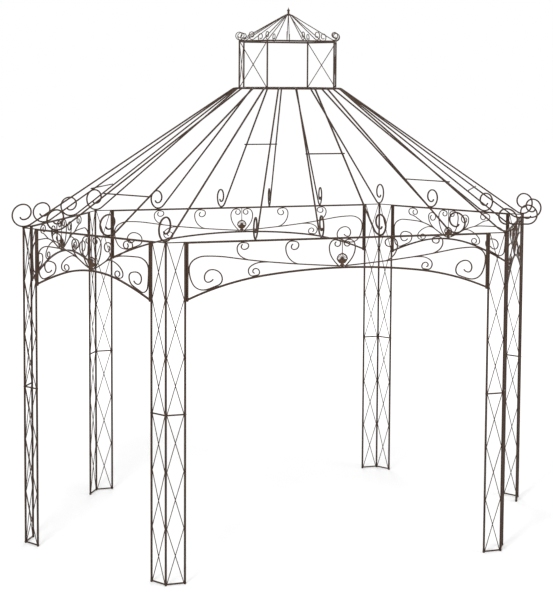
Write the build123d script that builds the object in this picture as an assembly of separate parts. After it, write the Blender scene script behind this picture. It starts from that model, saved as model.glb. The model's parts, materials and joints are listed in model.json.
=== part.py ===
from build123d import *
import os
from math import asin, atan2, cos, degrees, hypot, radians, sin, sqrt

# Iron garden pavilion: six open corner posts, six scrolled friezes, a rib roof and a lantern.
# The origin is on the ground under the finial. +X runs along the long sides, -Y is the front.

# Plan of the post corners
LONG_SIDE = 2250.0
END_REACH = 686.0
HALF_DEPTH = 1081.0

# Posts
POST_HEIGHT = 2100.0
POST_ROD = 14.0
STRIP_WIDTH = 120.0
STRIP_BAYS = 6
BRACE_WIRE = 5.5
FOOT_BAR = 9.0
FOOT_BAR_LIFT = 4.0
MIDDLE_BAR = 9.0
TOP_BAR = 7.0

# Gap left at each weld between two pieces
SEAT = 0.2

# Friezes: flat frames of bar, filled with bent wire. The scrolls are drawn on a grid.
SCROLL_GRID = 1.0
FRAME_BAR = 12.5
STEM_WIRE = 7.5
SCROLL_WIRE = 6.5
WELD_BITE = 2.5
LONG_ARCH_CROWN = 190.0
LONG_ARCH_SPRING = 352.0
LONG_ARCH_SLOPE = 23.0
SHORT_ARCH_CROWN = 229.0
SHORT_ARCH_SPRING = 360.0
SHORT_ARCH_SLOPE = 24.0
SIDE_BAR_TAIL = 12.0
HEART_ROOT = 6.0

# Shell ornament in the middle of each frieze
SHELL_EYE_HEIGHT = 46.0
SHELL_RADIUS = 35.5
SHELL_HALF_SPREAD = 96.0
SHELL_LOBES = 8
SHELL_LOBE_SWELL = 3.0
SHELL_SLOT_IN = 15.0
SHELL_SLOT_OUT = 29.5
SHELL_RIB = 3.6
SHELL_THICK = 9.0
SHELL_FOOT_WIDTH = 32.0
SHELL_FOOT_HEIGHT = 18.0
SHELL_FOOT_THICK = 12.0
SHELL_STAY = 6.0

# Roof ribs
RIB_BAR = 10.0
RIB_LEG = 16.0
RIB_SHOULDER = 40.0
RIB_SWEEP = 90.0
RIB_SCROLL = 64.5
RIB_CURL = 45.0
RIB_HOOK = 22.0
RIB_HOOK_TURN = 80.0
RIGHT_FRONT_OVERHANG = 95.0
CORNER_SCROLL = 72.5
CORNER_CURL = 50.0
FRONT_EAVE_STATIONS = (0.249, 0.438, 0.611, 0.842)
FRONT_RING_STATIONS = (0.175, 0.416, 0.668, 0.828)
BACK_EAVE_STATIONS = (0.220, 0.403, 0.573, 0.792)
BACK_RING_STATIONS = (0.200, 0.395, 0.585, 0.800)
END_EAVE_STATIONS = (0.25, 0.62)
END_RING_STATIONS = (0.28, 0.65)
RUNG_BAR = 8.0
RUNG_OVERSHOOT = 8.0
LONG_RUNG_SHARE = 0.475
SHORT_RUNG_SHARE = 0.775

# Lantern on the roof's crown
RING_HEIGHT = 3009.0
RING_BAR = 14.0
LANTERN_LONG_SIDE = 470.0
LANTERN_END_REACH = 113.0
LANTERN_HALF_DEPTH = 268.0
LANTERN_WALL = 317.0
LANTERN_EAVE_HEIGHT = RING_HEIGHT + LANTERN_WALL
LANTERN_EAVE_BAR = 11.0
LANTERN_ROD = 11.0
LANTERN_WIRE = 4.0
LANTERN_RIB = 5.0
LANTERN_RIB_LEG = 3.0
LANTERN_SHOULDER = 14.0
LANTERN_SWEEP = 36.0
LANTERN_SCROLL = 26.0
LANTERN_CURL = 18.0
LANTERN_HOOK = 9.0
LANTERN_LONG_STATIONS = (0.29, 0.53, 0.74)
LANTERN_SHORT_STATION = 0.45
HUB_RADIUS = 16.0
HUB_THICK = 12.0
LANTERN_RISE = 182.0
HUB_HEIGHT = LANTERN_EAVE_HEIGHT + LANTERN_RISE
FINIAL_HEIGHT = 50.0
FINIAL_TOP = HUB_HEIGHT + FINIAL_HEIGHT
FINIAL_NECK = 5.0
FINIAL_BALL = 10.0
FINIAL_BALL_DROP = 4.0

HALF_LONG = LONG_SIDE / 2
SHORT_SIDE = hypot(END_REACH, HALF_DEPTH)
CORNER_NAMES = ("front_left", "front_right", "right", "back_right", "back_left", "left")
SIDE_NAMES = ("front", "right_front", "right_back", "back", "left_back", "left_front")


def hexagon(half_long, end_reach, half_depth):
    """Corners of a long hexagon, from the front left round through the right."""
    end = half_long + end_reach
    return [
        Vector(-half_long, -half_depth),
        Vector(half_long, -half_depth),
        Vector(end, 0),
        Vector(half_long, half_depth),
        Vector(-half_long, half_depth),
        Vector(-end, 0),
    ]


CORNERS = hexagon(HALF_LONG, END_REACH, HALF_DEPTH)
LANTERN_CORNERS = hexagon(LANTERN_LONG_SIDE / 2, LANTERN_END_REACH, LANTERN_HALF_DEPTH)


def side_plane(corners, index):
    """Upright plane of one side: x along the side, y up, z out of the pavilion."""
    start = corners[index]
    along = (corners[(index + 1) % 6] - start).normalized()
    return Plane(origin=start, x_dir=along, z_dir=Vector(along.Y, -along.X))


def is_long(index):
    return index % 3 == 0


def unit(angle):
    """Direction of a heading in degrees."""
    return Vector(cos(radians(angle)), sin(radians(angle)))


def one_arc(start, heading, end):
    """Heading at the end of the arc that leaves start with this heading and reaches end."""
    chord = end - start
    turn = (degrees(atan2(chord.Y, chord.X)) - heading + 180) % 360 - 180
    return heading + 2 * turn


def halfway(start, heading, end, end_heading):
    """Joint of the two tangent arcs that lead from one station to the next."""
    chord = end - start
    first, last = unit(heading), unit(end_heading)
    both = first + last
    spread = 2 * (1 - first.dot(last))
    along = chord.dot(both)
    if spread < 1e-9:
        reach = chord.dot(chord) / (2 * along)
    else:
        reach = (sqrt(along * along + spread * chord.dot(chord)) - along) / spread
    joint = (start + end + (first - last) * reach) * 0.5
    return joint, one_arc(start, heading, joint)


def with_joints(stations):
    """Stations of a bent bar with the joints of its arcs put between them."""
    nodes = [(Vector(*stations[0][:2]), stations[0][2])]
    for u, v, heading in stations[1:]:
        start, start_heading = nodes[-1]
        end = Vector(u, v)
        if heading is None:
            nodes.append((end, one_arc(start, start_heading, end)))
            continue
        if abs((one_arc(start, start_heading, end) - heading + 180) % 360 - 180) > 0.01:
            nodes.append(halfway(start, start_heading, end, heading))
        nodes.append((end, heading))
    return nodes


def edge_between(start, heading, end):
    """Arc that leaves start with this heading, or a line where end is straight ahead."""
    chord = (end - start).normalized()
    direction = unit(heading)
    if abs(chord.X * direction.Y - chord.Y * direction.X) < 1e-6:
        return Line(start, end)
    return TangentArc(start, end, tangent=direction)


def ribbon(nodes, width):
    """Flat outline of a bar of this width, bent along its nodes."""
    edges = []
    rims = []
    for side in (1, -1):
        rim = [point + unit(heading + 90) * (side * width / 2) for point, heading in nodes]
        rims.append(rim)
        for (_, heading), start, end in zip(nodes, rim, rim[1:]):
            edges.append(edge_between(start, heading, end))
    edges.append(Line(rims[0][0], rims[1][0]))
    edges.append(Line(rims[0][-1], rims[1][-1]))
    return make_face(Wire(edges))


def slab(left, bottom, right, top):
    """Flat rectangle between two opposite corners."""
    return Pos((left + right) / 2, (bottom + top) / 2) * Rectangle(right - left, top - bottom)


def thick(face, depth):
    """Solid of a flat outline, half its depth to each side of its plane."""
    return extrude(face, amount=depth / 2, both=True)


# Corner posts


def post_rod():
    """One upright rod that stands on the ground."""
    return extrude(Circle(POST_ROD / 2), amount=POST_HEIGHT)


def crossed_wires(left, right, bottom, top, wire):
    """Two wires that cross in a bay, cut off square at its two uprights."""
    reach = hypot(right - left, top - bottom)
    middle = Vector((left + right) / 2, (bottom + top) / 2)
    tilt = degrees(atan2(top - bottom, right - left))
    return [Location(middle, (0, 0, turn)) * Rectangle(reach, wire) for turn in (tilt, -tilt)]


def lattice_side():
    """Lattice of one post face: side rod, three flat bars and crossed wires, x from the corner rod."""
    left = POST_ROD / 2 + SEAT
    right = STRIP_WIDTH - POST_ROD / 2 + WELD_BITE
    bay = POST_HEIGHT / STRIP_BAYS
    flat = slab(left, FOOT_BAR_LIFT, right, FOOT_BAR_LIFT + FOOT_BAR)
    flat += slab(left, (POST_HEIGHT - MIDDLE_BAR) / 2, right, (POST_HEIGHT + MIDDLE_BAR) / 2)
    flat += slab(left, POST_HEIGHT - TOP_BAR, right, POST_HEIGHT)
    for number in range(STRIP_BAYS):
        bottom = max(number * bay, FOOT_BAR_LIFT + BRACE_WIRE)
        top = min((number + 1) * bay, POST_HEIGHT - BRACE_WIRE / 2)
        for wire in crossed_wires(left, right, bottom, top, BRACE_WIRE):
            flat += wire
    flat = flat & slab(left, 0, right, POST_HEIGHT)
    wires = Rot(90, 0, 0) * thick(flat, BRACE_WIRE)
    return wires + Pos(STRIP_WIDTH, 0, 0) * post_rod()


# Friezes


def station_on(nodes, u, lift=0.0, lean=0.0):
    """Station on a bent bar at this u, lifted off its middle line and turned from its heading."""
    for (start, heading), (end, _) in zip(nodes, nodes[1:]):
        if min(start.X, end.X) <= u <= max(start.X, end.X):
            break
    turn = radians(one_arc(start, heading, end) - heading)
    if abs(turn) < 1e-6:
        direction = (end - start).normalized()
        point = start + direction * ((u - start.X) / direction.X)
        return point.X, point.Y + lift / abs(direction.X), heading + lean
    radius = (end - start).length / (2 * sin(turn / 2))
    centre = start + unit(heading + 90) * radius
    rise = sqrt(radius * radius - (u - centre.X) ** 2)
    side = 1 if (start - centre).Y > 0 else -1
    outward = Vector(u - centre.X, side * rise).normalized()
    point = centre + outward * (abs(radius) + side * lift)
    tangent = Vector(-outward.Y, outward.X) * (1 if radius > 0 else -1)
    return point.X, point.Y, degrees(atan2(tangent.Y, tangent.X)) + lean


class Arch:
    """Arched lower bar of a frieze, in the frieze's own flat frame."""

    def __init__(self, length, crown, spring, slope):
        self.length = length
        self.crown = crown
        self.spring = spring
        end = POST_ROD / 2 + SEAT + FRAME_BAR / 2
        self.half = with_joints([(end, -spring, slope), (length / 2, -crown, 0)])

    def whole(self):
        """Nodes of the arch from one side bar to the other."""
        back = [(Vector(self.length - p.X, p.Y), -h) for p, h in reversed(self.half[:-1])]
        return self.half + back


def frieze_frame(arch):
    """Top bar, two side bars and arched bar of one frieze."""
    left = POST_ROD / 2 + SEAT
    right = arch.length - left
    bottom = -arch.spring - SIDE_BAR_TAIL
    flat = slab(left, -FRAME_BAR, right, 0)
    flat += slab(left, bottom, left + FRAME_BAR, -FRAME_BAR / 2)
    flat += slab(right - FRAME_BAR, bottom, right, -FRAME_BAR / 2)
    flat += ribbon(arch.whole(), FRAME_BAR)
    return thick(flat, FRAME_BAR)


def against_top(wire):
    """Height of a wire's middle line where the wire touches the top bar from below."""
    return -FRAME_BAR - SEAT - wire / 2


def against_side(wire):
    """Distance of a wire's middle line where the wire touches a side bar."""
    return POST_ROD / 2 + SEAT + FRAME_BAR + SEAT + wire / 2


def on_arch(arch, u, wire):
    """Station where a wire lies on the arched bar."""
    return station_on(arch.half, u, FRAME_BAR / 2 + SEAT + wire / 2)


def at(u, v, heading):
    """Station of a scroll, drawn on the grid."""
    return u * SCROLL_GRID, v * SCROLL_GRID, heading


def from_stem(stem, u, lean):
    """Root of a wire on the stem, where it leaves the stem at this angle."""
    return station_on(stem, u * SCROLL_GRID, 0, lean)


def tops_out(u, wire):
    """Station where a wire touches the top bar."""
    return u * SCROLL_GRID, against_top(wire), 0


def from_shell(arch, short_by, rise, heading):
    """Root of a stem beside the shell's foot, over the crown of the arch."""
    foot = arch.length / 2 - SHELL_FOOT_WIDTH / 2 - SEAT
    return foot - short_by, -arch.crown + FRAME_BAR / 2 + rise, heading


def stem_spiral(arch, touch):
    """Station where a big scroll lies on the arch, at this distance along the frieze."""
    return on_arch(arch, touch * SCROLL_GRID, STEM_WIRE)


def long_half(arch):
    """Outlines of the bent wires in the left half of a long frieze."""
    stem = [from_shell(arch, 0.4, 4.0, 176), at(450, -130, 172.5), at(120, -91, 180)]
    big = stem + [
        (against_side(STEM_WIRE), -167 * SCROLL_GRID, 270),
        at(112, -296, 360),
        stem_spiral(arch, 160),
        at(231, -234, 90),
        at(166, -174, 180),
        at(119, -221, 270),
        at(142, -250, 360),
        at(174, -232, None),
    ]
    stem = with_joints(stem)
    outer = [
        from_stem(stem, 400, -4),
        at(324, -52, 90),
        tops_out(357, SCROLL_WIRE),
        at(397, -36, 270),
        at(369, -58, 180),
        at(350, -41, 90),
        at(359, -27, None),
    ]
    inner = [
        from_stem(stem, 722, -4),
        at(635, -58, 90),
        tops_out(673, SCROLL_WIRE),
        at(719, -41, 270),
        at(690, -69, 180),
        at(671, -52, 90),
        at(682, -35, None),
    ]
    lower = [
        from_stem(stem, 530, 4),
        at(420, -156, 210),
        at(396, -190, 270),
        on_arch(arch, 428 * SCROLL_GRID, SCROLL_WIRE),
        at(467, -202, 90),
        at(443, -177, 180),
        at(424, -194, 270),
        at(436, -205, None),
    ]
    heart = heart_lobe(arch, stem, 919, 958, 993)
    return [(big, STEM_WIRE)] + [(wire, SCROLL_WIRE) for wire in (outer, inner, lower, heart)]


def heart_lobe(arch, stem, left, crest, inner):
    """One lobe of the heart over the shell, from its root on the stem to its inner curl."""
    foot = arch.length / 2 - SHELL_FOOT_WIDTH / 2 - SEAT
    root = station_on(stem, foot - HEART_ROOT)
    return [
        (root[0], root[1], 140),
        at(left, -64, 90),
        tops_out(crest, SCROLL_WIRE),
        at(inner, -38, 270),
        at(inner - 20, -58, 180),
        at(inner - 37, -42, 90),
        at(inner - 28, -29, None),
    ]


def short_half(arch):
    """Outlines of the bent wires in the left half of a short frieze."""
    stem = [from_shell(arch, 1.5, 8.0, 160), at(349, -138, 158), at(112, -108, 180)]
    big = stem + [
        (against_side(STEM_WIRE), -180 * SCROLL_GRID, 270),
        stem_spiral(arch, 92),
        at(190, -236, 90),
        at(129, -201, 180),
        at(84, -239, 270),
        at(115, -275, 360),
        at(150, -256, None),
    ]
    stem = with_joints(stem)
    outer = [
        from_stem(stem, 300, -4),
        at(226, -84, 150),
        at(159, -42, 90),
        tops_out(196, SCROLL_WIRE),
        at(238, -44, 270),
        at(216, -64, 180),
        at(197, -47, 90),
        at(206, -33, None),
    ]
    inner = [
        from_stem(stem, 470, -4),
        at(352, -112, 120),
        at(341, -70, 90),
        at(372, -39, 0),
        at(405, -68, 270),
        at(378, -98, 180),
        at(358, -76, 90),
        at(370, -60, None),
    ]
    lower = [
        from_stem(stem, 385, 4),
        at(280, -176, 215),
        at(243, -228, 270),
        on_arch(arch, 288 * SCROLL_GRID, SCROLL_WIRE),
        at(313, -230, 90),
        at(290, -209, 180),
        at(270, -227, 270),
        at(284, -241, None),
    ]
    heart = heart_lobe(arch, stem, 434, 472, 507)
    return [(big, STEM_WIRE)] + [(wire, SCROLL_WIRE) for wire in (outer, inner, lower, heart)]


def scroll_half(wires):
    """One half of a frieze's scrollwork, its wires welded into one piece."""
    flat = None
    for stations, width in wires:
        bar = ribbon(with_joints(stations), width)
        flat = bar if flat is None else flat + bar
    return thick(flat, SCROLL_WIRE)


def shell(arch):
    """Pierced cast shell on its foot over the crown of the arch, with the stay up to the top bar."""
    base = -arch.crown + FRAME_BAR / 2 + SEAT
    eye = Vector(0, base + SHELL_EYE_HEIGHT)
    step = 2 * SHELL_HALF_SPREAD / SHELL_LOBES
    rim = []
    for number in range(SHELL_LOBES + 1):
        angle = 90 + SHELL_HALF_SPREAD - number * step
        rim.append(eye + unit(angle) * SHELL_RADIUS)
    half_foot = SHELL_FOOT_WIDTH / 2
    waist = base + SHELL_FOOT_HEIGHT
    edges = [Line(Vector(-half_foot, waist), rim[0])]
    slots = []
    for number, (start, end) in enumerate(zip(rim, rim[1:])):
        angle = 90 + SHELL_HALF_SPREAD - (number + 0.5) * step
        edges.append(ThreePointArc(start, eye + unit(angle) * (SHELL_RADIUS + SHELL_LOBE_SWELL), end))
        slots.append(shell_slot(eye, angle, step))
    edges.append(Line(rim[-1], Vector(half_foot, waist)))
    edges.append(Line(Vector(half_foot, waist), Vector(-half_foot, waist)))
    fan = thick(make_face(Wire(edges)), SHELL_THICK) - slots
    foot = thick(slab(-half_foot, base, half_foot, waist + WELD_BITE), SHELL_FOOT_THICK)
    stay_foot = eye.Y + SHELL_RADIUS - WELD_BITE
    stay = thick(slab(-SHELL_STAY / 2, stay_foot, SHELL_STAY / 2, -FRAME_BAR - SEAT), SHELL_STAY)
    return fan + foot + stay


def shell_slot(eye, angle, step):
    """Open slot between two ribs of the shell, wider towards the rim."""
    along = unit(angle)
    across = unit(angle - 90)
    corners = []
    for reach, side in ((SHELL_SLOT_IN, -1), (SHELL_SLOT_OUT, -1), (SHELL_SLOT_OUT, 1), (SHELL_SLOT_IN, 1)):
        half_width = reach * sin(radians(step / 2)) - SHELL_RIB / 2
        corners.append(eye + along * reach + across * (side * half_width))
    return thick(make_face(Wire(Polyline(*corners, close=True).edges())), SHELL_THICK)


# Roof


def rib_nodes(start, crown, foot, floor, shoulder, sweep, scroll, curl, hook, leg, overhang=0.0):
    """Middle line of a rib in its upright plane, from the crown ring to the end of its scroll.

    start and crown give the upper end, foot and floor the seat on the eave. A rib with an
    overhang runs on level past its seat before it curls."""
    bend = Vector(start + leg, crown - shoulder)
    sway = Vector(foot, floor + sweep)
    across = sway - bend
    fall = degrees(atan2(-across.Y, across.X))
    slope = fall + degrees(asin((shoulder + sweep) / across.length))
    top = floor + 2 * scroll
    eye = top - 2 * curl
    tip = foot + overhang
    level = [(Vector(tip, floor), 0)] if overhang else []
    slope_nodes = [
        (Vector(start, crown), 0),
        (Vector(start + leg, crown), 0),
        (bend + unit(90 - slope) * shoulder, -slope),
        (sway - unit(90 - slope) * sweep, -slope),
        (Vector(foot, floor), 0),
    ]
    curl_nodes = [
        (Vector(tip, top), 180),
        (Vector(tip, eye), 360),
        (Vector(tip, eye + hook) + unit(RIB_HOOK_TURN - 90) * hook, 360 + RIB_HOOK_TURN),
    ]
    return slope_nodes + level + curl_nodes


def rib_plane(inner, outer):
    """Upright plane through two plan points: x outwards, y up."""
    along = (outer - inner).normalized()
    return Plane(origin=inner, x_dir=along, z_dir=Vector(along.Y, -along.X))


def on_side(corners, index, share):
    start = corners[index]
    return start + (corners[(index + 1) % 6] - start) * share


def ring_face(index, share):
    """Plan point on the outer face of the crown ring."""
    outward = side_plane(LANTERN_CORNERS, index).z_dir
    return on_side(LANTERN_CORNERS, index, share) + outward * (RING_BAR / 2)


def face_rib(index, ring_share, eave_share):
    """Plane and nodes of a roof rib between two corners."""
    inner = ring_face(index, ring_share)
    outer = on_side(CORNERS, index, eave_share)
    plane = rib_plane(inner, outer)
    lean = plane.x_dir.dot(side_plane(CORNERS, index).z_dir)
    start = (SEAT + RIB_BAR / 2 * sqrt(1 - lean * lean)) / lean
    nodes = rib_nodes(
        start, RING_HEIGHT, (outer - inner).length, POST_HEIGHT + SEAT + RIB_BAR / 2,
        RIB_SHOULDER, RIB_SWEEP, RIB_SCROLL, RIB_CURL, RIB_HOOK, RIB_LEG,
        RIGHT_FRONT_OVERHANG if index == 1 else 0.0,
    )
    return plane, nodes


def corner_rib(index):
    """Plane and nodes of the roof rib that stands on a corner rod."""
    outer = CORNERS[index]
    plane = rib_plane(LANTERN_CORNERS[index], outer)
    reach = (outer - LANTERN_CORNERS[index]).length
    before = side_plane(LANTERN_CORNERS, index - 1).z_dir
    after = side_plane(LANTERN_CORNERS, index).z_dir
    mitre = RING_BAR / 2 / sqrt((1 + before.dot(after)) / 2)
    nodes = rib_nodes(
        mitre + SEAT + RIB_BAR / 4, RING_HEIGHT, reach, POST_HEIGHT + SEAT + RIB_BAR / 2,
        RIB_SHOULDER, RIB_SWEEP, CORNER_SCROLL, CORNER_CURL, RIB_HOOK, RIB_LEG,
    )
    return plane, nodes


def rib_solid(plane, nodes, bar):
    return plane * thick(ribbon(nodes, bar), bar)


def rung(pair, share):
    """Cross bar laid on two neighbouring ribs, part of the way down their slope."""
    middles = []
    upright = Vector(0, 0, 0)
    for plane, nodes in pair:
        (upper, heading), (lower, _) = nodes[2], nodes[3]
        middles.append(plane.from_local_coords(upper + (lower - upper) * share))
        upright += plane.from_local_coords(unit(heading + 90)) - plane.origin
    along = middles[1] - middles[0]
    upright = (upright - along * (upright.dot(along) / along.dot(along))).normalized()
    rises = []
    for plane, nodes in pair:
        heading = nodes[2][1]
        rib_axes = [plane.from_local_coords(unit(heading + turn)) - plane.origin for turn in (0, 90)]
        rib_axes.append(plane.z_dir)
        rises.append(sum(abs(axis.dot(upright)) for axis in rib_axes) * RIB_BAR / 2)
    lift = max(rises) + SEAT + RUNG_BAR / 2
    length = along.length + RIB_BAR + 2 * RUNG_OVERSHOOT
    place = Plane(origin=(middles[0] + middles[1]) * 0.5 + upright * lift, x_dir=along, z_dir=upright)
    return place * Box(length, RUNG_BAR, RUNG_BAR)


def hexagon_ring(corners, height, bar):
    """Ring of square bar along a hexagon's sides."""
    outline = Polyline(*corners, close=True)
    face = make_face(outline)
    outer = offset(face, bar / 2, kind=Kind.INTERSECTION)
    inner = offset(face, -bar / 2, kind=Kind.INTERSECTION)
    return Pos(0, 0, height - bar / 2) * extrude(outer - inner, amount=bar)


# Lantern


def lantern_rods():
    low = RING_HEIGHT + RING_BAR / 2 + SEAT
    high = LANTERN_EAVE_HEIGHT - LANTERN_EAVE_BAR / 2 - SEAT
    rod = extrude(Circle(LANTERN_ROD / 2), amount=high - low)
    return [Pos(corner.X, corner.Y, low) * rod for corner in LANTERN_CORNERS]


def lantern_brace(index):
    """Crossed wires between two lantern rods."""
    plane = side_plane(LANTERN_CORNERS, index)
    left = LANTERN_ROD / 2 + SEAT
    right = hypot(LANTERN_END_REACH, LANTERN_HALF_DEPTH) - left
    bottom = RING_HEIGHT + RING_BAR / 2 + SEAT
    top = LANTERN_EAVE_HEIGHT - LANTERN_EAVE_BAR / 2 - SEAT
    first, second = crossed_wires(left, right, bottom, top, LANTERN_WIRE)
    flat = (first + second) & slab(left, bottom, right, top)
    return plane * thick(flat, LANTERN_WIRE)


def lantern_ribs():
    """Thin ribs from the hub to the lantern's eave ring."""
    feet = list(LANTERN_CORNERS)
    for index in range(6):
        if is_long(index):
            feet += [on_side(LANTERN_CORNERS, index, share) for share in LANTERN_LONG_STATIONS]
        else:
            share = LANTERN_SHORT_STATION if index in (2, 5) else 1 - LANTERN_SHORT_STATION
            feet.append(on_side(LANTERN_CORNERS, index, share))
    floor = LANTERN_EAVE_HEIGHT + LANTERN_EAVE_BAR / 2 + SEAT + LANTERN_RIB / 2
    ribs = []
    for foot in feet:
        nodes = rib_nodes(
            HUB_RADIUS + SEAT, HUB_HEIGHT, foot.length, floor,
            LANTERN_SHOULDER, LANTERN_SWEEP, LANTERN_SCROLL, LANTERN_CURL, LANTERN_HOOK, LANTERN_RIB_LEG,
        )
        ribs.append(rib_solid(rib_plane(Vector(0, 0), foot), nodes, LANTERN_RIB))
    return ribs


def finial():
    """Hub that gathers the lantern ribs, with the turned finial on it."""
    low = HUB_HEIGHT - HUB_THICK / 2
    high = HUB_HEIGHT + HUB_THICK / 2
    ball = (high + FINIAL_TOP) / 2 - FINIAL_BALL_DROP
    profile = Polyline(
        (0, low),
        (HUB_RADIUS, low),
        (HUB_RADIUS, high),
        (FINIAL_NECK, high + FINIAL_NECK),
        (FINIAL_NECK, ball - FINIAL_NECK),
        (FINIAL_BALL, ball),
        (FINIAL_NECK, ball + FINIAL_NECK),
        (0, FINIAL_TOP),
        close=True,
    )
    return revolve(Plane.XZ * make_face(profile), Axis.Z)


def save(name, solids):
    """Writes one named piece, or several like pieces that don't touch."""
    pieces = [solid for shape in solids for solid in shape.solids()]
    export_step(Compound(children=pieces), os.path.join("parts", name + ".step"))


def main():
    os.makedirs("parts", exist_ok=True)

    rod = post_rod()
    lattice = lattice_side()
    for index, corner in enumerate(CORNERS):
        save(CORNER_NAMES[index] + "_corner_rod", [Pos(corner.X, corner.Y, 0) * rod])

    arches = {
        True: Arch(LONG_SIDE - 2 * STRIP_WIDTH, LONG_ARCH_CROWN, LONG_ARCH_SPRING, LONG_ARCH_SLOPE),
        False: Arch(SHORT_SIDE - 2 * STRIP_WIDTH, SHORT_ARCH_CROWN, SHORT_ARCH_SPRING, SHORT_ARCH_SLOPE),
    }
    frames = {key: frieze_frame(arch) for key, arch in arches.items()}
    halves = {True: scroll_half(long_half(arches[True])), False: scroll_half(short_half(arches[False]))}
    shells = {key: shell(arch) for key, arch in arches.items()}

    shell_solids = []
    for index, name in enumerate(SIDE_NAMES):
        plane = side_plane(CORNERS, index)
        length = LONG_SIDE if is_long(index) else SHORT_SIDE
        near = plane * Rot(-90, 0, 0) * lattice
        far = plane * Pos(length, 0, 0) * Rot(0, 180, 0) * Rot(-90, 0, 0) * lattice
        save(name + "_lattice_" + CORNER_NAMES[index], [near])
        save(name + "_lattice_" + CORNER_NAMES[(index + 1) % 6], [far])
        panel = plane * Pos(STRIP_WIDTH, POST_HEIGHT, 0)
        width = arches[is_long(index)].length
        save(name + "_frieze_frame", [panel * frames[is_long(index)]])
        half = halves[is_long(index)]
        other = Pos(width, 0, 0) * Rot(0, 180, 0) * half
        save(name + "_scrollwork", [panel * half, panel * other])
        shell_solids.append(panel * Pos(width / 2, 0, 0) * shells[is_long(index)])
    save("shell_ornaments", shell_solids)

    save("corner_ribs", [rib_solid(*corner_rib(index), RIB_BAR) for index in range(6)])
    rungs = []
    for index, name in enumerate(SIDE_NAMES):
        if index == 0:
            shares = zip(FRONT_RING_STATIONS, FRONT_EAVE_STATIONS)
        elif index == 3:
            shares = zip(BACK_RING_STATIONS, BACK_EAVE_STATIONS)
        else:
            shares = zip(END_RING_STATIONS, END_EAVE_STATIONS)
        if index in (1, 4):
            shares = [(1 - ring, 1 - eave) for ring, eave in shares]
        ribs = [face_rib(index, ring, eave) for ring, eave in shares]
        save(name + "_roof_ribs", [rib_solid(*rib, RIB_BAR) for rib in ribs])
        pair = ribs[1:3] if is_long(index) else ribs
        rungs.append(rung(pair, LONG_RUNG_SHARE if is_long(index) else SHORT_RUNG_SHARE))
    save("roof_rungs", rungs)

    save("crown_ring", [hexagon_ring(LANTERN_CORNERS, RING_HEIGHT, RING_BAR)])
    save("lantern_rods", lantern_rods())
    save("lantern_braces", [lantern_brace(index) for index in (1, 2, 4, 5)])
    save("lantern_eave_ring", [hexagon_ring(LANTERN_CORNERS, LANTERN_EAVE_HEIGHT, LANTERN_EAVE_BAR)])
    save("lantern_ribs", lantern_ribs())
    save("finial", [finial()])


main()
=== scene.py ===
import json
from math import atan2, cos, radians, sin

import bpy
from mathutils import Matrix, Vector


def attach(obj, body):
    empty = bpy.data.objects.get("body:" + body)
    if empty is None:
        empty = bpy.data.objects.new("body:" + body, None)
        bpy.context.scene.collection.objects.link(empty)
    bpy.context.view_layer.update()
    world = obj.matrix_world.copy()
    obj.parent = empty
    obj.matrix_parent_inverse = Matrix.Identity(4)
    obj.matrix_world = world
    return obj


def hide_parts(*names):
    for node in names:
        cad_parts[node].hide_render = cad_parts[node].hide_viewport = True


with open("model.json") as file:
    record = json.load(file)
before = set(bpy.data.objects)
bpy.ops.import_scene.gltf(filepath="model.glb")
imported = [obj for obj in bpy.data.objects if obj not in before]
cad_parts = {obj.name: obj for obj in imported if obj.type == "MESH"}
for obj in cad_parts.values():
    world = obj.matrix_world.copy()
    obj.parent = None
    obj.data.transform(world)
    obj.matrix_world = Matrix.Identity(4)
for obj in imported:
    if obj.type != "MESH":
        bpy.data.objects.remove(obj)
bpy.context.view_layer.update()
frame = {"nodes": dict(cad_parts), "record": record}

UP = Vector((0, 0, 1))
WHITE = (1, 1, 1, 1)
BLACK = (0, 0, 0, 1)

# Plan and heights, as in the solids
POST_HEIGHT = 2.1
LONG_SIDE = 2.25
END_REACH = 0.686
HALF_DEPTH = 1.081
STRIP_WIDTH = 0.12
STRIP_BAYS = 6
LONG_ARCH_CROWN = 0.190
SHORT_ARCH_CROWN = 0.229
LANTERN_LONG_SIDE = 0.470
LANTERN_END_REACH = 0.113
LANTERN_HALF_DEPTH = 0.268
HUB_LOW = 3.502
SIDE_NAMES = ("front", "right_front", "right_back", "back", "left_back", "left_front")
CORNER_NAMES = ("front_left", "front_right", "right", "back_right", "back_left", "left")

# Sections of bar and wire
POST_ROD = 0.014
FRAME_BAR = 0.0125
RIB_BAR = 0.010
BRACE_WIRE = 0.0055
FLAT_THICK = 0.0055
FLAT_BITE = 0.0005
FOOT_BAR = 0.009
FOOT_BAR_LIFT = 0.004
MIDDLE_BAR = 0.009
TOP_BAR = 0.007
SEAT = 0.0002

# Where the roof ribs stand on their sides, as pairs of shares: on the crown ring and on the eave
FRONT_RIBS = ((0.175, 0.249), (0.416, 0.438), (0.668, 0.611), (0.828, 0.842))
BACK_RIBS = ((0.200, 0.220), (0.395, 0.403), (0.585, 0.573), (0.800, 0.792))
END_RIBS = ((0.28, 0.25), (0.65, 0.62))

# How far the long corners of the square bars are rolled round, by the ending of the node's name
ROLLED_CORNERS = (
    ("_frieze_frame", 0.0032),
    ("roof_ribs", 0.0032),
    ("corner_ribs", 0.0032),
    ("crown_ring", 0.0032),
    ("roof_rungs", 0.0026),
    ("lantern_eave_ring", 0.0026),
    ("_scrollwork", 0.0018),
    ("lantern_ribs", 0.0013),
)
LATTICE_EDGE = 0.0007
BEVEL_STEPS = 2

# Angles in degrees: edges sharper than the first are bevelled, those under the second are shaded smooth
BAR_ANGLES = (50, 42)
LATTICE_ANGLES = (60, 50)
FINIAL_SMOOTH_ANGLE = 50

# Before a bar is rolled, points this close are merged and faces within this angle become one
MERGE_DISTANCE = 0.00001
MERGE_ANGLE = 1

# Sides of the round pieces
FLOOR_SIDES = 96
FINIAL_SIDES = 24
ROD_SIDES = 20
STAY_SIDES = 16
WIRE_SIDES = 8

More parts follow.
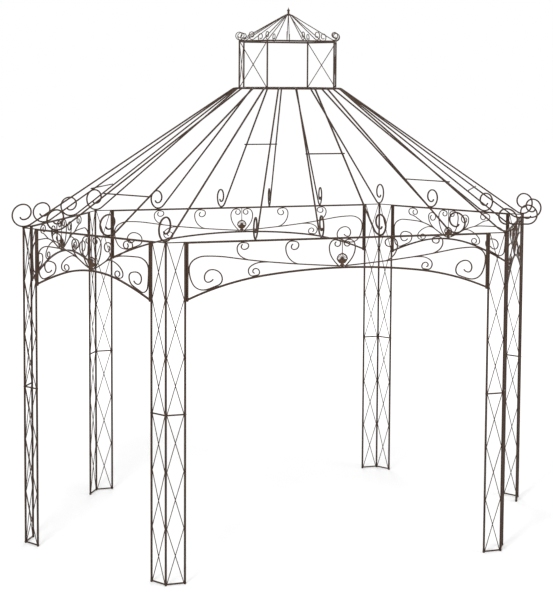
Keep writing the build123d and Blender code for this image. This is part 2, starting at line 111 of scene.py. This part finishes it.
# Pierced cast shell: the eye is where its ribs meet, above the arch
SHELL_EYE = 0.046
SHELL_RADIUS = 0.0355
SHELL_HALF_SPREAD = 96
SHELL_LOBES = 8
SHELL_FLUTES = 6
SHELL_FLUTE_SPREAD = 56
SHELL_LEAN = 38.5
SHELL_STAY = 0.0029
SHELL_STAY_BITE = 0.004
SHELL_SKIN = 0.0011
SHELL_SMOOTHING = 0.5

# Balls that a shell is cast from, as centre and half sizes. Those of a rib, a lobe of the rim and a flute
# are drawn upright and then turned about the eye.
RIB_BALLS = (
    ((0, 0, SHELL_RADIUS * 0.62), (0.0020, 0.0040, SHELL_RADIUS * 0.37)),
    ((0, 0, SHELL_RADIUS * 0.32), (0.0016, 0.0056, SHELL_RADIUS * 0.26)),
    ((0, 0, SHELL_RADIUS * 0.90), (0.0042, 0.0036, 0.0030)),
)
LOBE_BALL = ((0, 0, SHELL_RADIUS * 0.935), (0.0073, 0.0042, 0.0049))
FLUTE_BALL = ((0, 0, 0.0150), (0.0017, 0.0058, 0.0125))
DISH_BALL = ((0, 0, 0), (0.0122, 0.0040, 0.0122))
BOSS_BALL = ((0, 0, 0), (0.0046, 0.0070, 0.0046))
BODY_BALL = ((0, 0, -0.0140), (0.0165, 0.0043, 0.0200))
FOOT_BALL = ((0, 0, -0.0345), (0.0125, 0.0056, 0.0090))
PAD_BALL = ((0, 0, -0.0434), (0.0156, 0.0058, 0.0025))
TIP_BALL = ((0, 0, SHELL_RADIUS + 0.0030), (0.0036, 0.0040, 0.0064))

# Balls of the right side with their lean: the outer and inner cheek and the curl at the foot
SIDE_BALLS = (
    ((0.0275, 0, 0.0035), (0.0045, 0.0042, 0.0165), SHELL_LEAN),
    ((0.0190, 0, -0.0020), (0.0080, 0.0036, 0.0135), SHELL_LEAN),
    ((0.0102, 0, -0.0385), (0.0054, 0.0056, 0.0054), 0),
)

# The stay widens at its foot: by how much, and over which share of its length
STAY_FLARE = 1.3
STAY_FLARE_SHARE = 0.12

# Finial, from the hub's underside to the tip: radius and height above the underside
FINIAL_PROFILE = (
    (0.0155, 0.0000), (0.0165, 0.0030), (0.0165, 0.0085), (0.0145, 0.0120), (0.0080, 0.0145),
    (0.0052, 0.0180), (0.0060, 0.0200), (0.0088, 0.0215), (0.0088, 0.0232), (0.0056, 0.0248),
    (0.0050, 0.0268), (0.0078, 0.0292), (0.0100, 0.0330), (0.0102, 0.0362), (0.0084, 0.0398),
    (0.0056, 0.0428), (0.0036, 0.0470), (0.0022, 0.0520), (0.0008, 0.0560),
)

# Beads of weld: round a rod, and beside a rib
RING_BEAD = 0.0018
RING_BEAD_OUT = 0.0004
RING_BEAD_STRETCH = 1.5
SEAT_BEAD = (0.0018, 0.0062, 0.0020)
BEAD_UNEVEN = 0.0004
RING_BEAD_SEED = 3
SEAT_BEAD_SEED = 5

# Camera: solved from the feet and tops of the eighteen post rods in the photograph
CAMERA_TURN = radians(-18.143)
CAMERA_TILT = radians(-4.469)
CAMERA_ROLL = radians(0.34)
CAMERA_AWAY = 4.8107 * POST_HEIGHT
CAMERA_HIGH = 1.4756 * POST_HEIGHT
CAMERA_ASIDE = -0.0353 * POST_HEIGHT
FOCUS_PIXELS = 1471.7
CENTRE_ROW = 190
IMAGE_HEIGHT = 600
SENSOR = 36.0
SIGHT = 200

# Even soft light, white backdrop, and round lamps: name, place, width and watts
SOFT_LIGHT = 0.62
BACKDROP_LIGHT = 1.0
LAMP_TARGET = Vector((0, 0, 1.8))
LAMPS = (
    ("key_lamp", (-5.5, -7.0, 7.5), 2.2, 620),
    ("fill_lamp", (7.0, -5.0, 5.0), 4.0, 260),
    ("rim_lamp", (2.0, 8.0, 7.0), 4.0, 300),
)

# Floor, and its glow to the camera: how far out and how strong, near and far
FLOOR_RADIUS = 60
FLOOR_COLOUR = (0.70, 0.70, 0.70, 1)
FLOOR_ROUGHNESS = 0.9
GLOW_NEAR, GLOW_NEAR_STRENGTH = 2.5, 0.24
GLOW_FAR, GLOW_FAR_STRENGTH = 9.0, 0.62

# Finish of each slot of the record: material, darker and lighter brown, scale of the clouds, scale of
# the flecks, roughness between and relief
FINISHES = {
    "post_iron": (
        "post_coat", (0.029, 0.014, 0.008), (0.056, 0.030, 0.017), 9, 210, (0.46, 0.66), 0.35
    ),
    "frieze_iron": (
        "frieze_coat", (0.030, 0.015, 0.008), (0.058, 0.031, 0.017), 12, 240, (0.44, 0.64), 0.35
    ),
    "scroll_iron": (
        "scroll_coat", (0.033, 0.017, 0.010), (0.064, 0.035, 0.020), 16, 300, (0.42, 0.62), 0.30
    ),
    "roof_iron": (
        "roof_coat", (0.028, 0.014, 0.008), (0.056, 0.030, 0.017), 8, 220, (0.46, 0.68), 0.35
    ),
    "lantern_iron": (
        "lantern_coat", (0.030, 0.015, 0.009), (0.058, 0.032, 0.018), 14, 260, (0.44, 0.64), 0.30
    ),
    "cast_ornament": (
        "cast_coat", (0.036, 0.018, 0.009), (0.090, 0.048, 0.026), 45, 420, (0.38, 0.64), 0.55
    ),
}
CLOUD_DETAIL = 5
CLOUD_ROUGHNESS = 0.6
CLOUD_EDGES = (0.32, 0.68)
FLECK_DETAIL = 3
FLECK_EDGES = (0.60, 0.74)
FLECK_COLOUR = (0.13, 0.075, 0.042, 1)
FLECK_SHARE = 0.55
PEBBLES_PER_FLECK = 2.2
PEBBLE_DEPTH = 0.0004
METALLIC = 0.25
SPECULAR = 0.3

# Colour sockets of a mix node
MIX_FROM, MIX_TO, MIX_RESULT = 6, 7, 2


def hexagon(long_side, end_reach, half_depth):
    """Corners of a plan, from the front left round through the right."""
    half = long_side / 2
    end = half + end_reach
    return [
        Vector((-half, -half_depth, 0)),
        Vector((half, -half_depth, 0)),
        Vector((end, 0, 0)),
        Vector((half, half_depth, 0)),
        Vector((-half, half_depth, 0)),
        Vector((-end, 0, 0)),
    ]


CORNERS = hexagon(LONG_SIDE, END_REACH, HALF_DEPTH)
LANTERN_CORNERS = hexagon(LANTERN_LONG_SIDE, LANTERN_END_REACH, LANTERN_HALF_DEPTH)


def following(index):
    return (index + 1) % len(CORNERS)


def side_frame(index):
    """Start, direction along, direction out and length of one side."""
    start = CORNERS[index]
    run = CORNERS[following(index)] - start
    along = run.normalized()
    return start, along, Vector((along.y, -along.x, 0)), run.length


# Working by hand


def clear():
    if bpy.context.object and bpy.context.object.mode == "EDIT":
        bpy.ops.object.mode_set(mode="OBJECT")
    bpy.ops.object.select_all(action="DESELECT")


def choose(piece):
    clear()
    piece.select_set(True)
    bpy.context.view_layer.objects.active = piece


def edit():
    bpy.ops.object.mode_set(mode="EDIT")
    bpy.ops.mesh.select_all(action="SELECT")


def done():
    bpy.ops.object.mode_set(mode="OBJECT")


def disc(vertices, radius, height=0):
    """Level disc, as the start of a drawn piece or as a floor."""
    clear()
    bpy.ops.mesh.primitive_circle_add(
        vertices=vertices, radius=radius, fill_type="NGON", location=(0, 0, height)
    )


def extrude(by):
    bpy.ops.mesh.extrude_region_move(TRANSFORM_OT_translate={"value": by})


def close_up():
    """Ends the edit of a drawn piece with all of its faces turned out."""
    bpy.ops.mesh.select_all(action="SELECT")
    bpy.ops.mesh.normals_make_consistent(inside=False)
    done()
    return bpy.context.object


def apply(piece, name, kind, **settings):
    """Gives a chosen piece a modifier and applies it."""
    modifier = piece.modifiers.new(name, kind)
    for setting, value in settings.items():
        setattr(modifier, setting, value)
    bpy.ops.object.modifier_apply(modifier=modifier.name)


def join(pieces, name):
    clear()
    for piece in pieces:
        piece.select_set(True)
    bpy.context.view_layer.objects.active = pieces[0]
    bpy.ops.object.join()
    joined = bpy.context.object
    joined.name = name
    bpy.ops.object.transform_apply(location=True, rotation=True, scale=True)
    return joined


def keep(piece, slot, nodes=()):
    """Gives a finished piece its finish, its body and the nodes that it stands for."""
    piece.data.materials.clear()
    piece.data.materials.append(finishes[slot])
    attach(piece, "root")
    if nodes:
        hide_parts(*nodes)


def carry_to(spot, across, back):
    """Takes a pattern from the origin to a spot, with its x across, its y back and its z up."""
    return Matrix.Translation(spot) @ Matrix((across, back, UP)).transposed().to_4x4()


def copy_of(piece, name, matrix):
    twin = bpy.data.objects.new(name, piece.data.copy())
    bpy.context.scene.collection.objects.link(twin)
    twin.data.transform(matrix)
    return twin


def drop(piece):
    bpy.data.objects.remove(piece)


# Camera, light and floor


def place_camera():
    data = bpy.data.cameras.new("camera")
    camera = bpy.data.objects.new("camera", data)
    bpy.context.scene.collection.objects.link(camera)
    forward = Vector((-sin(CAMERA_TURN), cos(CAMERA_TURN), 0))
    right = Vector((cos(CAMERA_TURN), sin(CAMERA_TURN), 0))
    ahead = forward * cos(CAMERA_TILT) + UP * sin(CAMERA_TILT)
    above = UP * cos(CAMERA_TILT) - forward * sin(CAMERA_TILT)
    aside = right * cos(CAMERA_ROLL) + above * sin(CAMERA_ROLL)
    above = above * cos(CAMERA_ROLL) - right * sin(CAMERA_ROLL)
    turn = Matrix((aside, above, -ahead)).transposed()
    spot = -forward * CAMERA_AWAY + right * CAMERA_ASIDE + UP * CAMERA_HIGH
    camera.matrix_world = Matrix.Translation(spot) @ turn.to_4x4()
    data.sensor_width = SENSOR
    data.lens = FOCUS_PIXELS * SENSOR / IMAGE_HEIGHT
    data.shift_y = (CENTRE_ROW - IMAGE_HEIGHT / 2) / IMAGE_HEIGHT
    data.clip_end = SIGHT
    bpy.context.scene.camera = camera


def place_lamp(name, spot, size, power):
    data = bpy.data.lights.new(name, "AREA")
    data.shape = "DISK"
    data.size = size
    data.energy = power
    lamp = bpy.data.objects.new(name, data)
    bpy.context.scene.collection.objects.link(lamp)
    lamp.location = spot
    lamp.rotation_euler = (LAMP_TARGET - Vector(spot)).to_track_quat("-Z", "Y").to_euler()


def seen_directly(nodes, links):
    """1 where a camera, glossy or transmission ray arrives, 0 for light that falls on things."""
    path = nodes.new("ShaderNodeLightPath")
    seen = path.outputs["Is Camera Ray"]
    for ray in ("Is Glossy Ray", "Is Transmission Ray"):
        either = nodes.new("ShaderNodeMath")
        either.operation = "MAXIMUM"
        links.new(seen, either.inputs[0])
        links.new(path.outputs[ray], either.inputs[1])
        seen = either.outputs[0]
    return seen


def light_studio():
    """White backdrop to the camera, softer light on the object, and the lamps."""
    scene = bpy.context.scene
    scene.view_settings.view_transform = "Standard"
    world = scene.world or bpy.data.worlds.new("studio")
    scene.world = world
    world.use_nodes = True
    nodes, links = world.node_tree.nodes, world.node_tree.links
    nodes.clear()
    mix = nodes.new("ShaderNodeMixShader")
    links.new(seen_directly(nodes, links), mix.inputs["Fac"])
    for socket, strength in ((1, SOFT_LIGHT), (2, BACKDROP_LIGHT)):
        backdrop = nodes.new("ShaderNodeBackground")
        backdrop.inputs["Color"].default_value = WHITE
        backdrop.inputs["Strength"].default_value = strength
        links.new(backdrop.outputs[0], mix.inputs[socket])
    out = nodes.new("ShaderNodeOutputWorld")
    links.new(mix.outputs[0], out.inputs["Surface"])
    for lamp in LAMPS:
        place_lamp(*lamp)


def lay_floor():
    """Pale floor that glows white to the camera and keeps a faint shadow."""
    disc(FLOOR_SIDES, FLOOR_RADIUS)
    floor = bpy.context.object
    floor.name = "floor"
    material = bpy.data.materials.new("pale_floor")
    material.use_nodes = True
    nodes, links = material.node_tree.nodes, material.node_tree.links
    shader = nodes["Principled BSDF"]
    shader.inputs["Base Color"].default_value = FLOOR_COLOUR
    shader.inputs["Roughness"].default_value = FLOOR_ROUGHNESS
    shader.inputs["Specular IOR Level"].default_value = 0.0
    glow = nodes.new("ShaderNodeEmission")
    away = nodes.new("ShaderNodeVectorMath")
    away.operation = "LENGTH"
    links.new(nodes.new("ShaderNodeTexCoord").outputs["Object"], away.inputs[0])
    paler = nodes.new("ShaderNodeMapRange")
    paler.inputs["From Min"].default_value = GLOW_NEAR
    paler.inputs["From Max"].default_value = GLOW_FAR
    paler.inputs["To Min"].default_value = GLOW_NEAR_STRENGTH
    paler.inputs["To Max"].default_value = GLOW_FAR_STRENGTH
    links.new(away.outputs["Value"], paler.inputs["Value"])
    links.new(paler.outputs["Result"], glow.inputs["Strength"])
    dark = nodes.new("ShaderNodeEmission")
    dark.inputs["Strength"].default_value = 0.0
    pick = nodes.new("ShaderNodeMixShader")
    both = nodes.new("ShaderNodeAddShader")
    links.new(seen_directly(nodes, links), pick.inputs["Fac"])
    links.new(dark.outputs[0], pick.inputs[1])
    links.new(glow.outputs[0], pick.inputs[2])
    links.new(shader.outputs[0], both.inputs[0])
    links.new(pick.outputs[0], both.inputs[1])
    links.new(both.outputs[0], nodes["Material Output"].inputs["Surface"])
    floor.data.materials.append(material)


# Finishes


def noise(nodes, links, place, scale, detail):
    texture = nodes.new("ShaderNodeTexNoise")
    texture.inputs["Scale"].default_value = scale
    texture.inputs["Detail"].default_value = detail
    links.new(place, texture.inputs["Vector"])
    return texture


def ramp(nodes, links, value, edges, colours):
    """Runs from the first colour to the second between two values."""
    made = nodes.new("ShaderNodeValToRGB")
    for element, edge, colour in zip(made.color_ramp.elements, edges, colours):
        element.position = edge
        element.color = colour
    links.new(value, made.inputs["Fac"])
    return made.outputs["Color"]


def coat(name, dark, light, patch, grain, gloss, relief):
    """Antique brown powder coat: cloudy colour, fine flecks, uneven gloss and a pebbled skin."""
    material = bpy.data.materials.new(name)
    material.use_nodes = True
    nodes, links = material.node_tree.nodes, material.node_tree.links
    shader = nodes["Principled BSDF"]
    place = nodes.new("ShaderNodeTexCoord").outputs["Object"]

    clouds = noise(nodes, links, place, patch, CLOUD_DETAIL)
    clouds.inputs["Roughness"].default_value = CLOUD_ROUGHNESS
    tone = ramp(nodes, links, clouds.outputs["Fac"], CLOUD_EDGES, ((*dark, 1), (*light, 1)))

    flecks = noise(nodes, links, place, grain, FLECK_DETAIL)
    rubbed = ramp(nodes, links, flecks.outputs["Fac"], FLECK_EDGES, (BLACK, WHITE))
    faint = nodes.new("ShaderNodeMath")
    faint.operation = "MULTIPLY"
    faint.inputs[1].default_value = FLECK_SHARE
    links.new(rubbed, faint.inputs[0])
    worn = nodes.new("ShaderNodeMix")
    worn.data_type = "RGBA"
    worn.inputs[MIX_TO].default_value = FLECK_COLOUR
    links.new(faint.outputs[0], worn.inputs["Factor"])
    links.new(tone, worn.inputs[MIX_FROM])
    links.new(worn.outputs[MIX_RESULT], shader.inputs["Base Color"])

    sheen = nodes.new("ShaderNodeMapRange")
    sheen.inputs["To Min"].default_value = gloss[0]
    sheen.inputs["To Max"].default_value = gloss[1]
    links.new(clouds.outputs["Fac"], sheen.inputs["Value"])
    links.new(sheen.outputs["Result"], shader.inputs["Roughness"])

    pebbles = nodes.new("ShaderNodeTexVoronoi")
    pebbles.inputs["Scale"].default_value = grain * PEBBLES_PER_FLECK
    links.new(place, pebbles.inputs["Vector"])
    bump = nodes.new("ShaderNodeBump")
    bump.inputs["Strength"].default_value = relief
    bump.inputs["Distance"].default_value = PEBBLE_DEPTH
    links.new(pebbles.outputs["Distance"], bump.inputs["Height"])
    links.new(bump.outputs["Normal"], shader.inputs["Normal"])
    shader.inputs["Metallic"].default_value = METALLIC
    shader.inputs["Specular IOR Level"].default_value = SPECULAR
    return material


# Bars with their corners rounded


def soften(piece, name, width, sharper, smoother):
    """Bevels the edges that are sharper than one angle and shades smooth those under another."""
    limit = radians(sharper)
    apply(piece, name, "BEVEL", width=width, segments=BEVEL_STEPS, limit_method="ANGLE", angle_limit=limit)
    bpy.ops.object.shade_smooth_by_angle(angle=radians(smoother))


def rounded_bar(node, slot, radius):
    """Copy of a node of square bar with its long corners rolled round, as drawn rod has."""
    piece = bpy.data.objects.new(node + "_bar", frame["nodes"][node].data.copy())
    bpy.context.scene.collection.objects.link(piece)
    choose(piece)
    edit()
    bpy.ops.mesh.remove_doubles(threshold=MERGE_DISTANCE)
    bpy.ops.mesh.dissolve_limited(angle_limit=radians(MERGE_ANGLE))
    done()
    soften(piece, "rolled corners", radius, *BAR_ANGLES)
    keep(piece, slot, [node])


# Post lattices


def drawn_wire(start, end, sway):
    """Round wire from start to end, bowed by sway where it crosses its neighbour."""
    disc(WIRE_SIDES, BRACE_WIRE / 2)
    run = (end - start) / 2
    bow = Vector((0, sway, 0))
    edit()
    bpy.ops.transform.rotate(value=-atan2(run.x, run.z), orient_axis="Y", center_override=(0, 0, 0))
    bpy.ops.transform.translate(value=start)
    extrude(run + bow)
    extrude(run - bow)
    return close_up()


def flat_bar(left, right, low, high):
    """Flat bar between two rods of a post."""
    clear()
    middle = ((left + right) / 2, 0, (low + high) / 2)
    bpy.ops.mesh.primitive_cube_add(size=1, location=middle, scale=(right - left, FLAT_THICK, high - low))
    return bpy.context.object


def lattice_pattern():
    """Side rod, three flat bars and crossed wires of one post face, x from the corner rod."""
    left, right = POST_ROD / 2 - FLAT_BITE, STRIP_WIDTH - POST_ROD / 2 + FLAT_BITE
    bay = POST_HEIGHT / STRIP_BAYS
    clear()
    bpy.ops.mesh.primitive_cylinder_add(
        vertices=ROD_SIDES,
        radius=POST_ROD / 2,
        depth=POST_HEIGHT,
        location=(STRIP_WIDTH, 0, POST_HEIGHT / 2),
    )
    parts = [bpy.context.object]
    parts.append(flat_bar(left, right, FOOT_BAR_LIFT, FOOT_BAR_LIFT + FOOT_BAR))
    parts.append(flat_bar(left, right, (POST_HEIGHT - MIDDLE_BAR) / 2, (POST_HEIGHT + MIDDLE_BAR) / 2))
    parts.append(flat_bar(left, right, POST_HEIGHT - TOP_BAR, POST_HEIGHT))
    for number in range(STRIP_BAYS):
        low = max(number * bay, FOOT_BAR_LIFT + FOOT_BAR / 2)
        high = min((number + 1) * bay, POST_HEIGHT - TOP_BAR / 2)
        parts.append(drawn_wire(Vector((left, 0, low)), Vector((right, 0, high)), BRACE_WIRE / 2))
        parts.append(drawn_wire(Vector((right, 0, low)), Vector((left, 0, high)), -BRACE_WIRE / 2))
    pattern = join(parts, "lattice")
    soften(pattern, "broken edges", LATTICE_EDGE, *LATTICE_ANGLES)
    return pattern


def stand_lattices():
    """Both post faces that belong to each side, turned so that each starts at its corner rod."""
    pattern = lattice_pattern()
    for index, name in enumerate(SIDE_NAMES):
        _, along, out, _ = side_frame(index)
        for corner, across, back in ((index, along, -out), (following(index), -along, out)):
            node = name + "_lattice_" + CORNER_NAMES[corner]
            strip = copy_of(pattern, node + "_strip", carry_to(CORNERS[corner], across, back))
            keep(strip, "post_iron", [node])
    drop(pattern)


# Cast shells


def ball(spot, size, turn=0.0, segments=16, rings=10):
    """Stretched ball, turned about the eye of the shell at the origin."""
    clear()
    bpy.ops.mesh.primitive_uv_sphere_add(segments=segments, ring_count=rings, radius=1, location=(0, 0, 0))
    edit()
    bpy.ops.transform.resize(value=size, center_override=(0, 0, 0))
    bpy.ops.transform.translate(value=spot)
    bpy.ops.transform.rotate(value=turn, orient_axis="Y", center_override=(0, 0, 0))
    done()
    return bpy.context.object


def round_stay(low, high):
    """Upright round stay on the middle line, a little wider at its foot."""
    disc(STAY_SIDES, SHELL_STAY * STAY_FLARE, low)
    edit()
    extrude((0, 0, (high - low) * STAY_FLARE_SHARE))
    bpy.ops.transform.resize(value=(1 / STAY_FLARE, 1 / STAY_FLARE, 1), center_override=(0, 0, low))
    extrude((0, 0, (high - low) * (1 - STAY_FLARE_SHARE)))
    return close_up()


def cast_shell(stay_top):
    """Pierced scallop on its foot with the stay over it, eye at the origin, z up and -y out."""
    parts = []
    step = radians(2 * SHELL_HALF_SPREAD / SHELL_LOBES)
    first = -radians(SHELL_HALF_SPREAD)
    for number in range(SHELL_LOBES + 1):
        for spot, size in RIB_BALLS:
            parts.append(ball(spot, size, first + number * step))
    for number in range(SHELL_LOBES):
        parts.append(ball(*LOBE_BALL, first + (number + 0.5) * step))
    for number in range(SHELL_FLUTES):
        turn = radians(180 + SHELL_FLUTE_SPREAD * (2 * number / (SHELL_FLUTES - 1) - 1))
        parts.append(ball(*FLUTE_BALL, turn))
    parts.extend(ball(*shape) for shape in (DISH_BALL, BOSS_BALL, BODY_BALL))
    for side in (1, -1):
        for (out, front, up), size, lean in SIDE_BALLS:
            parts.append(ball((side * out, front, up), size, -side * radians(lean)))
    parts.extend(ball(*shape) for shape in (FOOT_BALL, PAD_BALL, TIP_BALL))
    parts.append(round_stay(SHELL_RADIUS - SHELL_STAY_BITE, stay_top))
    shell = join(parts, "shell")
    apply(shell, "one casting", "REMESH", mode="VOXEL", voxel_size=SHELL_SKIN)
    apply(shell, "sand finish", "SMOOTH", factor=SHELL_SMOOTHING, iterations=1)
    bpy.ops.object.shade_smooth()
    return shell


def hang_shells():
    """A shell in the middle of each frieze."""
    patterns = {}
    for crown in (LONG_ARCH_CROWN, SHORT_ARCH_CROWN):
        eye = -crown + FRAME_BAR / 2 + SEAT + SHELL_EYE
        patterns[crown] = cast_shell(-FRAME_BAR - eye), eye
    for index, name in enumerate(SIDE_NAMES):
        pattern, eye = patterns[LONG_ARCH_CROWN if index % 3 == 0 else SHORT_ARCH_CROWN]
        start, along, out, length = side_frame(index)
        spot = start + along * (length / 2) + UP * (POST_HEIGHT + eye)
        shell = copy_of(pattern, name + "_shell", carry_to(spot, along, -out))
        keep(shell, "cast_ornament", ["shell_ornaments"])
    for pattern, _ in patterns.values():
        drop(pattern)


# Finial


def turn_finial():
    """Hub and finial, drawn up ring by ring from the hub's underside."""
    radius, _ = FINIAL_PROFILE[0]
    disc(FINIAL_SIDES, radius, HUB_LOW)
    edit()
    for (before, low), (after, high) in zip(FINIAL_PROFILE, FINIAL_PROFILE[1:]):
        extrude((0, 0, high - low))
        swell = after / before
        bpy.ops.transform.resize(value=(swell, swell, 1), center_override=(0, 0, HUB_LOW + high))
    finial = close_up()
    finial.name = "turned_finial"
    bpy.ops.object.transform_apply(location=True, rotation=True, scale=True)
    bpy.ops.object.shade_smooth_by_angle(angle=radians(FINIAL_SMOOTH_ANGLE))
    keep(finial, "cast_ornament", ["finial"])


# Welds


def roughen(seed):
    """Makes a bead of weld a little uneven."""
    bpy.ops.transform.vertex_random(offset=BEAD_UNEVEN, seed=seed)
    done()


def ring_bead():
    """Bead of weld round a post's rod."""
    clear()
    bpy.ops.mesh.primitive_torus_add(
        major_segments=14,
        minor_segments=6,
        major_radius=POST_ROD / 2 + RING_BEAD_OUT,
        minor_radius=RING_BEAD,
        location=(0, 0, 0),
    )
    bead = bpy.context.object
    edit()
    bpy.ops.transform.resize(value=(1, 1, RING_BEAD_STRETCH), center_override=(0, 0, 0))
    roughen(RING_BEAD_SEED)
    return bead


def seat_bead():
    """Short bead of weld in the corner between a rib and the bar that it lies on."""
    bead = ball((0, 0, 0), SEAT_BEAD, segments=10, rings=6)
    edit()
    roughen(SEAT_BEAD_SEED)
    return bead


def lay_beads(beads, name, slot):
    welds = join(beads, name)
    bpy.ops.object.shade_smooth()
    keep(welds, slot)


def weld_posts():
    """Beads where the flat bars of the lattices meet the rods."""
    pattern = ring_bead()
    heights = (FOOT_BAR_LIFT + FOOT_BAR / 2, POST_HEIGHT / 2, POST_HEIGHT - TOP_BAR / 2)
    for index, name in enumerate(SIDE_NAMES):
        start, along, _, length = side_frame(index)
        spots = [
            start + along * reach + UP * height
            for reach in (STRIP_WIDTH, length - STRIP_WIDTH, 0)
            for height in heights
        ]
        beads = [copy_of(pattern, "bead", Matrix.Translation(spot)) for spot in spots]
        lay_beads(beads, name + "_welds", "post_iron")
    drop(pattern)


def rib_shares(index):
    """Shares of the ribs on one side, in the sense of that side."""
    shares = {0: FRONT_RIBS, 3: BACK_RIBS}.get(index, END_RIBS)
    return [(1 - ring, 1 - eave) for ring, eave in shares] if index in (1, 4) else shares


def weld_ribs():
    """Beads on both sides of each rib where it lies on a frieze."""
    pattern = seat_bead()
    for index, name in enumerate(SIDE_NAMES):
        beads = []
        for ring, eave in rib_shares(index):
            foot = CORNERS[index].lerp(CORNERS[following(index)], eave)
            head = LANTERN_CORNERS[index].lerp(LANTERN_CORNERS[following(index)], ring)
            away = (foot - head).normalized()
            beside = away.cross(UP)
            for side in (1, -1):
                spot = foot + beside * (side * RIB_BAR / 2) + UP * POST_HEIGHT
                beads.append(copy_of(pattern, "bead", carry_to(spot, beside, away)))
        lay_beads(beads, name + "_rib_welds", "roof_iron")
    drop(pattern)


place_camera()
light_studio()
lay_floor()
finishes = {slot: coat(*finish) for slot, finish in FINISHES.items()}

slots = {part["node"]: part["material_slot"] for part in frame["record"]["subparts"]}
for node, obj in frame["nodes"].items():
    obj.data.materials.clear()
    obj.data.materials.append(finishes[slots[node]])

for node, slot in slots.items():
    for ending, radius in ROLLED_CORNERS:
        if node.endswith(ending):
            rounded_bar(node, slot, radius)

stand_lattices()
hang_shells()
turn_finial()
weld_posts()
weld_ribs()

clear()
